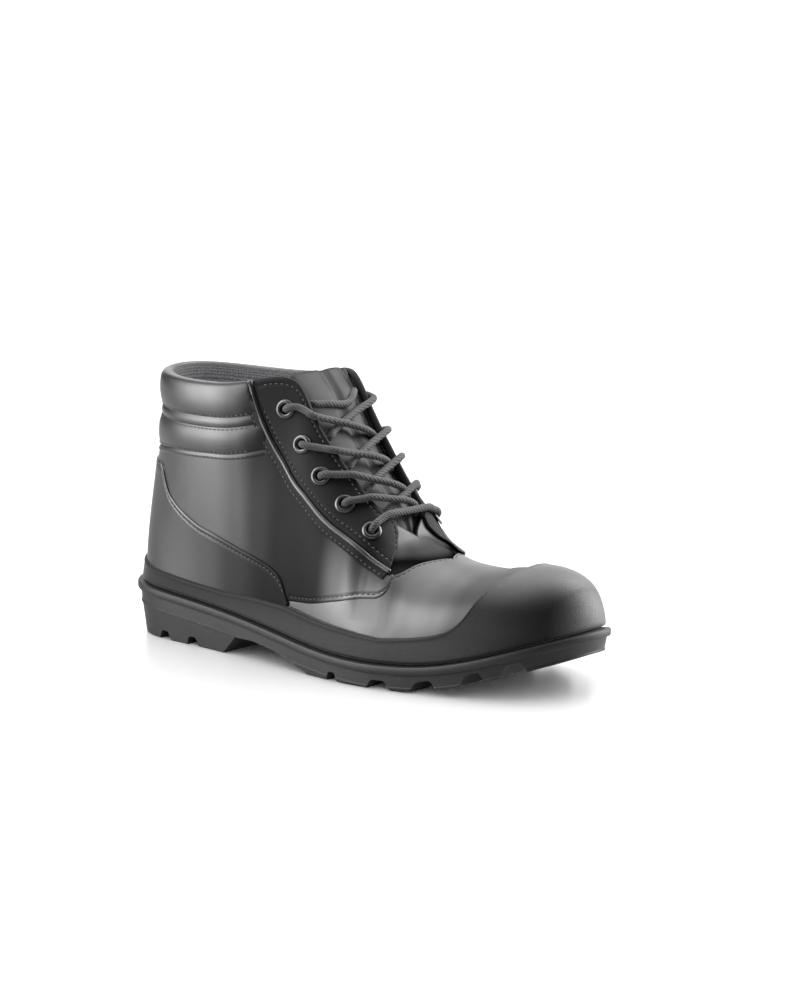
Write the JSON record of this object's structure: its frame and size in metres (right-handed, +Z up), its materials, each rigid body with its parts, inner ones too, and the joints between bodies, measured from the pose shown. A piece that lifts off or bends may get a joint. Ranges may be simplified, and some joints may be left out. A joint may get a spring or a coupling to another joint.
{
  "type": "safety boot",
  "caption": "Ankle-high laced safety boot for the right foot: cleated rubber sole, bumper toe, leather upper with heel counter, padded collar, eyelet facings and tongue.",
  "frame": {"origin": "on the floor under the middle of the sole's outline", "axes": "+X from heel to toe, +Y to the medial side, +Z up"},
  "size_m": [0.3084, 0.1134, 0.1567],
  "materials": {
    "sole_rubber": "moulded, satin",
    "rand_rubber": "moulded, fine grain",
    "leather": "smooth, polished",
    "padded_leather": "soft, satin",
    "matt_leather": "fine grain, matt",
    "knit_lining": "knitted",
    "eyelet_enamel": "enamel, satin",
    "lace_cord": "braided, matt"
  },
  "bodies": {
    "root": {"outsole": "sole_rubber", "rand": "rand_rubber", "upper": "leather", "counter": "leather", "quarter_lateral": "leather", "quarter_medial": "leather", "collar": "padded_leather", "tongue": "padded_leather", "eyestay_lateral": "matt_leather", "eyestay_medial": "matt_leather", "piping_lateral": "matt_leather", "piping_medial": "matt_leather", "insole": "knit_lining", "eyelet_lateral_1": "eyelet_enamel", "eyelet_lateral_2": "eyelet_enamel", "eyelet_lateral_3": "eyelet_enamel", "eyelet_lateral_4": "eyelet_enamel", "eyelet_lateral_5": "eyelet_enamel", "eyelet_medial_1": "eyelet_enamel", "eyelet_medial_2": "eyelet_enamel", "eyelet_medial_3": "eyelet_enamel", "eyelet_medial_4": "eyelet_enamel", "eyelet_medial_5": "eyelet_enamel", "lace_bar": "lace_cord", "lace_cross_1": "lace_cord", "lace_cross_2": "lace_cord", "lace_cross_3": "lace_cord", "lace_cross_4": "lace_cord"}
  },
  "joints": []
}
